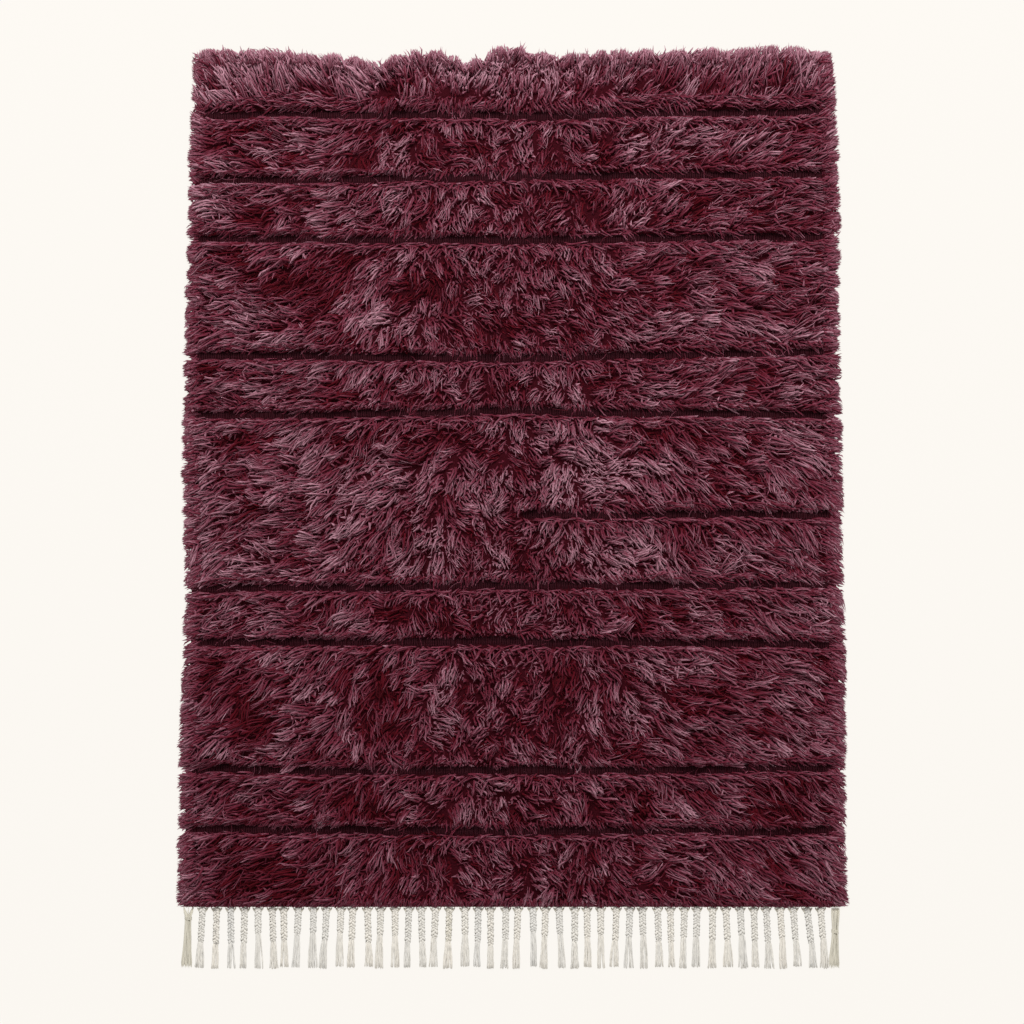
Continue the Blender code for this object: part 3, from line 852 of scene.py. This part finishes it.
def lay_ribs(material):
    """The ribs of the flat weave across the floor of each furrow."""
    chance = np.random.default_rng(PILE_SEED + 2)
    tubes = Tubes()
    for index, furrow in enumerate(FURROWS):
        x = uneven_row(chance, max(furrow.starts_at + 0.02, -0.718), 0.716, RIB_PITCH, 0.0010)
        skew = chance.uniform(-0.0015, 0.0015, (x.size, 1))
        t = np.array([-1.0, -0.60, 0.0, 0.60, 1.0])
        y = line(index, x)[:, None] + RIB_HALF * t
        path = joined(x[:, None] + skew * t, y, RIB_Z - RIB_DROP * t * t)
        radii = RIB_RADIUS * chance.uniform(0.85, 1.1, (x.size, 1)) * np.array([0.95, 1.0, 0.95])
        tubes.add(path, radii, chance.uniform(0.1, 0.9, x.size), sides=4, flat=0.6)
    place(tubes.build("furrow_ribs", material), "shag_field", "plum_wool")


# ---- fringe

GAP = 0.0003
HEADING_DEPTH = 0.0075
HEADING_HALF_WIDTH = 0.733
HEADING_FRONT_Y = FIELD_END_Y - GAP - HEADING_DEPTH
STRANDS = 48
FIRST_STRAND_X = -0.720
STRAND_PITCH = 2 * abs(FIRST_STRAND_X) / (STRANDS - 1)
FRINGE_STRAY = 0.0028
FRINGE_LEAN = 0.0055
FRINGE_SWEEP = 0.0085  # how far the tips of the last plaits on the right are swept aside
FRINGE_SWEEP_FROM = 0.500
FRINGE_UNEVEN = 0.005
FRINGE_SEED = 5

PLAIT_RADIUS = 0.0032
PLAIT_SWING = 0.0052
PLAIT_LIFT = 0.0020
PLAIT_TURN = 0.0185  # length over which a yarn comes back to its place
PLAIT_UNEVEN = 0.45  # how much a plait tightens and loosens on its way
PLAIT_Z = 0.0047
PLAIT_TOP_Y = HEADING_FRONT_Y + 0.0008  # just inside the trimmed pile
PLAIT_END = 0.016  # its yarns thin out and draw together over this length
PLAIT_STEPS = 27
PLAITED_SHARE = (0.50, 0.70)
CROSSINGS = 8.0  # the map is this many turns of a plait long

LOOSE_YARNS = 9
LOOSE_LAP = 0.013  # the loose yarns start this far up in the plait
LOOSE_RADIUS = 0.0018
LOOSE_STOPS = np.array([0.0, 0.06, 0.20, 0.40, 0.60, 0.80, 0.97, 1.0])
ROOT_YARNS = 6
ROOT_RADIUS = 0.0019
ROOT_LENGTH = 0.0152
OVERCUT = 0.0030  # yarns may end this much below their solid


def fringe_places():
    """The root, lean and length of each strand, as in the solids."""
    chance = random.Random(FRINGE_SEED)
    middles = []
    for i in range(STRANDS):
        stray = 0.0 if i in (0, STRANDS - 1) else FRINGE_STRAY * chance.uniform(-1, 1)
        middles.append(FIRST_STRAND_X + i * STRAND_PITCH + stray)
    places = []
    for middle in middles:
        lean = FRINGE_LEAN * chance.uniform(-1, 1)
        reach = HEADING_FRONT_Y - FRINGE_TIP_Y - FRINGE_UNEVEN * chance.random() ** 2
        places.append((middle, lean, reach))
    return places


def abreast(count):
    """Places side by side, within half a unit of the middle."""
    return (np.arange(count) - (count - 1) / 2) / count


def add_plait(tubes, chance, middle, lean, reach, plaited):
    """Three yarns plaited from the heading down to where they come loose. Their tone is given back."""
    s = np.linspace(0.0, plaited, PLAIT_STEPS)
    phase = chance.uniform(0, 2 * np.pi)
    tone = np.clip(0.5 + 0.2 * chance.normal(), 0.05, 0.85)
    turn = PLAIT_TURN * chance.uniform(0.9, 1.1)
    uneven = PLAIT_UNEVEN * np.sin(2 * np.pi * (s / 0.024 + chance.random()))
    fade = smooth((s - plaited + PLAIT_END) / PLAIT_END)
    radii = PLAIT_RADIUS * (1 - 0.5 * fade[1:-1])
    for number in range(3):
        around = 2 * np.pi * s / turn + phase + uneven + number * 2 * np.pi / 3
        out = middle + lean * s / reach + PLAIT_SWING * (1 - 0.5 * fade) * np.sin(around)
        lift = PLAIT_Z + PLAIT_LIFT * np.sin(2 * around) - 0.0018 * fade
        path = joined(out, PLAIT_TOP_Y - s, lift - 0.0022 * (1 - smooth(s / 0.008)))
        shade = np.array([tone + chance.uniform(-0.04, 0.04)])
        tubes.add(path[None], radii[None], shade, around / (2 * np.pi * CROSSINGS), sides=6)
    return tone


def add_loose_yarns(tubes, chance, middle, lean, reach, plaited, tone):
    """The yarns below the plait, which spread a little to their cut ends."""
    many = LOOSE_YARNS
    order = chance.permutation(many)[:, None]
    spot = abreast(many)
    from_x = middle + lean * plaited / reach + 0.0095 * spot
    to_x = middle + lean + chance.uniform(0.015, 0.019) * (spot + 0.10 * chance.normal(size=many))
    cut = reach + OVERCUT - 0.0014 * np.abs(chance.normal(size=many))
    t = LOOSE_STOPS[None]
    waves = t * chance.uniform(0.6, 1.4, (many, 1)) + chance.random((many, 1))
    start = plaited - LOOSE_LAP
    x = from_x[:, None] + (to_x - from_x)[:, None] * t ** 0.8 + 0.0010 * np.sin(2 * np.pi * waves) * t
    y = PLAIT_TOP_Y - start - (cut[:, None] + 0.001 - start) * t
    z = (0.0042 + 0.0030 * (order / many)) * (1 - t) + (0.0016 + 0.0022 * (order % 2)) * t
    radii = LOOSE_RADIUS * chance.uniform(0.8, 1.15, (many, 1)) * np.array([0.9, 1, 1, 1, 1, 0.92])
    shade = np.clip(tone + 0.09 * chance.normal(size=many), 0.03, 0.80)
    tubes.add(joined(x, y, z), radii, shade, LOOSE_STOPS, sides=5)


def add_roots(tubes, chance, middle):
    """The warp ends that come out of the cloth abreast and gather to a plait."""
    spot = abreast(ROOT_YARNS)[:, None]
    t = np.linspace(0, 1, 6)[None]
    ease = smooth(t)
    x = middle + 0.028 * spot * (1 - ease) + 0.009 * spot * ease
    path = joined(x, HEADING_FRONT_Y + 0.0004 - ROOT_LENGTH * t, 0.0018 + 0.0034 * ease)
    radii = np.full((ROOT_YARNS, 4), ROOT_RADIUS) * np.array([1.0, 1.0, 1.0, 0.95])
    # Their darker tone is painted shade from the pile's edge above.
    tubes.add(path, radii, np.clip(0.91 + 0.03 * chance.normal(size=ROOT_YARNS), 0.86, 0.98), sides=5)


def grow_plaits(places, plait_material, yarn_material):
    chance = np.random.default_rng(FRINGE_SEED)
    plaits, ends, roots = Tubes(), Tubes(), Tubes()
    for middle, lean, reach in places:
        lean = lean + FRINGE_SWEEP * smooth((middle - FRINGE_SWEEP_FROM) / 0.10)
        plaited = chance.uniform(*PLAITED_SHARE) * reach
        tone = add_plait(plaits, chance, middle, lean, reach, plaited)
        add_loose_yarns(ends, chance, middle, lean, reach, plaited, tone)
        add_roots(roots, chance, middle)
    pieces = [
        plaits.build("fringe_plaits", plait_material),
        ends.build("fringe_ends", yarn_material),
        roots.build("fringe_roots", yarn_material),
    ]
    return [place(piece, "warp_fringe", "cream_warp") for piece in pieces]


# The left and right corner bundles: how far down they are pinched, and above that how much they narrow for a
# fork, how far apart its legs are and how much they widen.
Bundle = namedtuple("Bundle", "knot fork leg wider")
BUNDLES = (Bundle(0.16, 0.6, 0.0090, 0.004), Bundle(0.38, 0.0, 0.0, 0.006))
BUNDLE_YARNS = 15
BUNDLE_STEPS = 13
KNOT_TURNS = 3


def grow_bundles(places, material):
    """A plain bundle of yarns at each corner, pinched a little way down."""
    chance = np.random.default_rng(FRINGE_SEED + 1)
    tubes = Tubes()
    many = BUNDLE_YARNS
    spot = abreast(many)[:, None]
    for (knot, fork, leg, wider), (middle, lean, reach) in zip(BUNDLES, (places[0], places[-1])):
        t = np.linspace(0, 1, BUNDLE_STEPS)[None]
        above = smooth(1 - t / knot)
        below = smooth((t - knot) / (1 - knot))
        wide = 0.012 + wider * above + 0.010 * below
        wave = 0.0012 * np.sin(2 * np.pi * (1.3 * t + chance.random((many, 1))))
        legs = leg * np.sign(spot) * above
        x = middle + lean * t + spot * wide * (1 - fork * above) + legs + wave * below
        y = PLAIT_TOP_Y - (reach + OVERCUT - 0.0015 * np.abs(chance.normal(size=(many, 1)))) * t
        stack = chance.permutation(many)[:, None] / many
        z = 0.0030 + 0.0055 * stack * (0.3 + 0.7 * smooth(t / 0.08)) * (1 - 0.6 * below)
        radii = np.full((many, BUNDLE_STEPS - 2), 0.0017) * chance.uniform(0.85, 1.15, (many, 1))
        tubes.add(joined(x, y, z), radii, chance.uniform(0.86, 0.97, many), sides=5)

        around = np.pi * np.linspace(-0.1, 1.1, 9)[None]
        down = HEADING_FRONT_Y - knot * reach - 0.0026 * np.arange(KNOT_TURNS)[:, None]
        x = middle + lean * knot - 0.0074 * np.cos(around)
        path = joined(x, down + 0.0012 * np.cos(around), 0.0030 + 0.0068 * np.sin(around))
        tubes.add(path, np.full((KNOT_TURNS, 7), 0.0014), np.full(KNOT_TURNS, 0.95), sides=5)
    return place(tubes.build("corner_bundles", material), "warp_fringe", "cream_warp")


def lay_heading(material):
    """Two twisted cords that hold the warp ends along the edge of the cloth."""
    tubes = Tubes()
    steps = 300
    x = np.linspace(-HEADING_HALF_WIDTH, HEADING_HALF_WIDTH, steps)
    for middle in (0.0019, 0.0056):
        for half in (0, 1):
            around = 2 * np.pi * x / 0.014 + np.pi * half
            y = HEADING_FRONT_Y + middle + 0.0008 * np.sin(around)
            path = joined(x, y, 0.0018 + 0.0006 * np.cos(around))
            # The darker tone is painted shade under the trimmed pile.
            shade = np.array([0.9 + 0.05 * half])
            tubes.add(path[None], np.full((1, steps - 2), 0.0012), shade, sides=5)
    return place(tubes.build("heading", material), "warp_fringe", "cream_warp")


# ---- materials

class Shader:
    """A material with one Principled shader, and short ways to add nodes to it."""

    def __init__(self, name, **sockets):
        self.material = bpy.data.materials.new(name)
        self.material.use_nodes = True
        self.tree = self.material.node_tree
        self.shader = self.tree.nodes["Principled BSDF"]
        for socket, value in sockets.items():
            self.shader.inputs[socket.replace("_", " ")].default_value = value

    def node(self, kind, inputs=(), **settings):
        made = self.tree.nodes.new(kind)
        for key, value in settings.items():
            setattr(made, key, value)
        for key, value in dict(inputs).items():
            if isinstance(value, bpy.types.NodeSocket):
                self.tree.links.new(value, made.inputs[key])
            else:
                made.inputs[key].default_value = value
        return made

    def math(self, operation, first, second=0.0, third=0.0):
        return self.node("ShaderNodeMath", {0: first, 1: second, 2: third}, operation=operation).outputs[0]

    def ramp(self, share, stops):
        made = self.node("ShaderNodeValToRGB", {0: share})
        elements = made.color_ramp.elements
        for position, colour in stops[2:]:
            elements.new(position)
        for element, (position, colour) in zip(elements, sorted(stops)):
            element.position = position
            element.color = (*colour, 1.0) if len(np.shape(colour)) else (colour, colour, colour, 1.0)
        return made.outputs[0]

    def multiply(self, first, second):
        inputs = {0: 1.0, 6: first, 7: second}
        return self.node("ShaderNodeMix", inputs, data_type="RGBA", blend_type="MULTIPLY").outputs[2]

    def noise(self, vector, scale):
        return self.node("ShaderNodeTexNoise", {"Vector": vector, "Scale": scale, "Detail": 3.0}).outputs[0]

    def map_axes(self):
        """Across the map is a yarn's shade, and up it is the place along the yarn."""
        on_map = self.node("ShaderNodeUVMap", uv_map=UV_MAP).outputs[0]
        split = self.node("ShaderNodeSeparateXYZ", {0: on_map})
        return split.outputs[0], split.outputs[1]

    def fibres(self, u, v, across, along):
        """Fine streaks that run along each yarn."""
        stretched = {0: self.math("MULTIPLY", u, across), 1: self.math("MULTIPLY", v, along)}
        return self.noise(self.node("ShaderNodeCombineXYZ", stretched).outputs[0], 1.0)

    def finish(self, colour, height, distance):
        self.tree.links.new(colour, self.shader.inputs["Base Color"])
        bump = self.node("ShaderNodeBump", {"Height": height, "Distance": distance, "Strength": 1.0})
        self.tree.links.new(bump.outputs[0], self.shader.inputs["Normal"])
        return self.material


def pile_wool():
    wool = Shader(
        "plum_pile", Roughness=0.75, Specular_IOR_Level=0.03, Sheen_Weight=0.03, Sheen_Roughness=0.5,
        Sheen_Tint=(1.0, 0.45, 0.55, 1.0),
    )
    u, v = wool.map_axes()
    # Painted shade: each strand is coloured darker towards its root, deep in the pile.
    depth = wool.ramp(v, ((0.0, 0.60), (1.0, 1.0), (0.30, 0.64), (0.66, 0.87)))
    fibre = wool.fibres(u, v, 240.0, 5.0)
    streaked = wool.math("MULTIPLY_ADD", fibre, 1.8, 0.12)
    shade = wool.math("MULTIPLY", wool.math("MULTIPLY", u, depth), streaked)
    # The light end of this ramp is paler and greyer, a painted highlight on the lightest strands.
    colour = wool.ramp(shade, (
        (0.0, (0.042, 0.0018, 0.0042)), (1.0, (0.36, 0.186, 0.229)), (0.20, (0.066, 0.0027, 0.0067)),
        (0.45, (0.119, 0.0200, 0.0360)), (0.70, (0.205, 0.079, 0.1075)),
    ))
    return wool.finish(colour, fibre, 0.0006)


def shaded_ground_wool():
    wool = Shader("plum_ground_shade", Roughness=0.9, Specular_IOR_Level=0.03)
    place_on = wool.node("ShaderNodeTexCoord").outputs["Object"]
    fine = wool.noise(place_on, 420.0)
    # Painted shade: the cloth among the roots is coloured near black, as the deep pile is in shade.
    colour = wool.ramp(fine, ((0.3, (0.018, 0.0012, 0.0027)), (0.72, (0.040, 0.0034, 0.0070))))
    return wool.finish(colour, fine, 0.0015)


def weave_wool():
    wool = Shader("plum_weave", Roughness=0.85, Specular_IOR_Level=0.06)
    u, v = wool.map_axes()
    wraps = wool.math("SINE", wool.math("MULTIPLY", v, 62.0))
    fibre = wool.fibres(u, v, 300.0, 14.0)
    height = wool.math("MULTIPLY_ADD", wraps, 0.22, fibre)
    # The weave's plum is darkened as painted shade of the furrow; in_shade paints the pile's shadow towards
    # the upper side.
    colour = wool.ramp(height, ((0.2, (0.022, 0.0026, 0.0050)), (0.8, (0.050, 0.0085, 0.0145))))
    in_shade = wool.ramp(v, ((0.2, 1.0), (0.9, 0.30)))
    return wool.finish(wool.multiply(colour, in_shade), height, 0.0008)


def fringe_yarn(name, plaited):
    """A yarn is streaked where it lies loose, and in a plait it has painted shade where it goes under the
    others.
    """
    yarn = Shader(name, Roughness=0.8, Specular_IOR_Level=0.25, Sheen_Weight=0.2, Sheen_Roughness=0.5)
    u, v = yarn.map_axes()
    # The dark end of the ramp is the corner bundles' khaki, and on the roots and heading it is painted shade.
    tone = yarn.ramp(u, (
        (0.0, (0.675, 0.660, 0.630)), (1.0, (0.61, 0.575, 0.475)), (0.35, (0.72, 0.695, 0.645)),
        (0.6, (0.745, 0.710, 0.645)), (0.82, (0.77, 0.725, 0.65)), (0.86, (0.615, 0.58, 0.49)),
    ))
    fibre = yarn.fibres(u, v, 300.0, 5.0)
    if plaited:
        # Painted shade: a plaited yarn is coloured darker where it goes under the others.
        over = yarn.math("SINE", yarn.math("MULTIPLY", v, 4 * math.pi * CROSSINGS))
        yarn_marks = yarn.ramp(yarn.math("MULTIPLY_ADD", over, 0.5, 0.5), ((0.15, 0.38), (0.75, 0.90)))
    else:
        yarn_marks = yarn.ramp(fibre, ((0.36, 0.70), (0.60, 1.0)))
    return yarn.finish(yarn.multiply(tone, yarn_marks), fibre, 0.0006)


# ---- studio

VIEW_DISTANCE = 5.3
VIEW_TILT = math.asin(0.10865)
VIEW_AIM_Y = -0.031
VIEW_LENS = 82.1
FLOOR_HALF = 9.0
FLOOR_COLOUR = (0.04, 0.039, 0.037, 1.0)
PAPER = (0.982, 0.947, 0.896, 1.0)
PAPER_GLOW = 0.935
SKY = (1.0, 0.985, 0.965, 1.0)
SKY_STRENGTH = 0.74
KEY_PLACE = (0.0, 3.8, 4.0)
KEY_SIZE = (3.0, 1.5)
KEY_POWER = 330.0


def lay_floor():
    """A plain pale floor, which glows a little so that it is as light as paper all over."""
    bm = bmesh.new()
    bmesh.ops.create_grid(bm, x_segments=8, y_segments=8, size=FLOOR_HALF)
    mesh = bpy.data.meshes.new("studio_floor")
    bm.to_mesh(mesh)
    bm.free()
    paper = Shader(
        "pale_floor", Base_Color=FLOOR_COLOUR, Roughness=1.0, Specular_IOR_Level=0.0, Emission_Color=PAPER,
        Emission_Strength=PAPER_GLOW,
    )
    mesh.materials.append(paper.material)
    floor = add_object("studio_floor", mesh)


def light_studio():
    """Light from all around, and a broad light past the head of the rug."""
    world = bpy.data.worlds.new("studio")
    world.use_nodes = True
    background = world.node_tree.nodes["Background"]
    background.inputs["Color"].default_value = SKY
    background.inputs["Strength"].default_value = SKY_STRENGTH
    bpy.context.scene.world = world
    data = bpy.data.lights.new("key_light", "AREA")
    data.shape = "RECTANGLE"
    data.size, data.size_y = KEY_SIZE
    data.energy = KEY_POWER
    light = add_object("key_light", data)
    light.location = KEY_PLACE
    light.rotation_euler = (Vector() - Vector(KEY_PLACE)).to_track_quat("-Z", "Y").to_euler()


def set_camera():
    data = bpy.data.cameras.new("photo_view")
    data.lens = VIEW_LENS
    data.sensor_width = 36.0
    data.clip_end = 60.0
    camera = add_object("photo_view", data)
    back, up = VIEW_DISTANCE * math.sin(VIEW_TILT), VIEW_DISTANCE * math.cos(VIEW_TILT)
    camera.location = (0.0, VIEW_AIM_Y - back, up)
    camera.rotation_euler = (VIEW_TILT, 0.0, 0.0)
    bpy.context.scene.camera = camera
    bpy.context.scene.view_settings.view_transform = "Standard"


# ---- making

pile_material = pile_wool()
yarn_material = fringe_yarn("cream_yarn", False)
cloth = lay_ground(shaded_ground_wool())
lay_ribs(weave_wool())
lay_pile(pile_material)
lay_stray_hairs(pile_material)
places = fringe_places()
fringe = grow_plaits(places[1:-1], fringe_yarn("cream_plait", True), yarn_material)
fringe += [grow_bundles(places, yarn_material), lay_heading(yarn_material)]

lay_floor()
light_studio()
set_camera()
